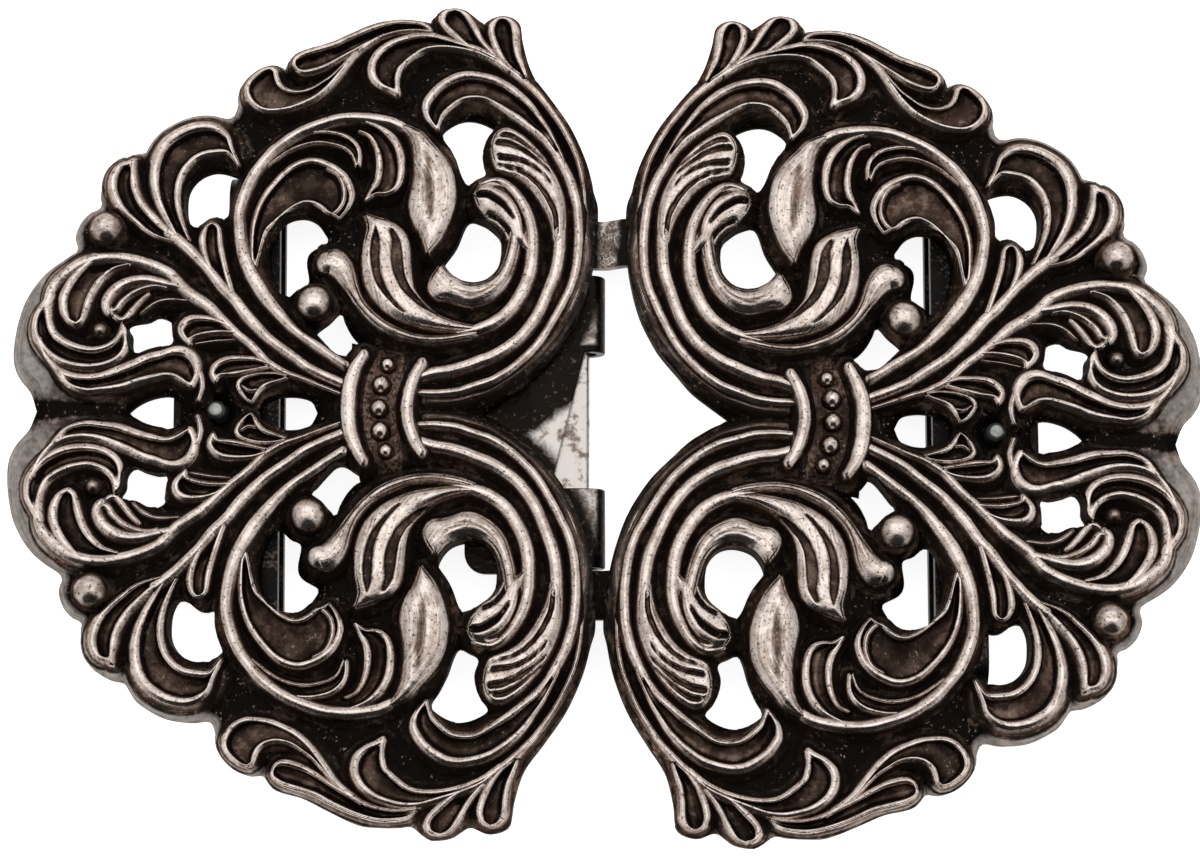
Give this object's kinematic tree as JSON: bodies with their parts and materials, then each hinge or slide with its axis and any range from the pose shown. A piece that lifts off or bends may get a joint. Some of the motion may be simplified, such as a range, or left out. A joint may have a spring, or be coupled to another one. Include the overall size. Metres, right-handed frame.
{
  "type": "apron clasp",
  "caption": "Hooked two-piece apron clasp: pierced cast scroll halves with beads and collars, a sheet hook and catch behind, and a riveted strip loop for the band on each side.",
  "frame": {"origin": "centre of the clasp's outline, on the surface that the two band loops lie on", "axes": "+X along the band from the left half to the right half, +Y towards the top of the face, +Z out of the face"},
  "size_m": [0.078, 0.0556, 0.0068],
  "materials": {
    "oxidised_silver": "cast silver, blackened in the hollows and polished on the rims and buds",
    "sheet_silver": "rolled silver sheet, softly polished with a pebbled grain and rounded edges",
    "dark_strip": "tarnished silver strip, dark with faint wear",
    "rivet_silver": "hammered rivet heads, grey tarnish"
  },
  "bodies": {
    "root": {"left_casting": "oxidised_silver", "right_casting": "oxidised_silver", "hook_plate": "sheet_silver", "catch_frame": "sheet_silver", "left_belt_loop": "dark_strip", "right_belt_loop": "dark_strip", "left_rivet": "rivet_silver", "right_rivet": "rivet_silver"}
  },
  "joints": []
}
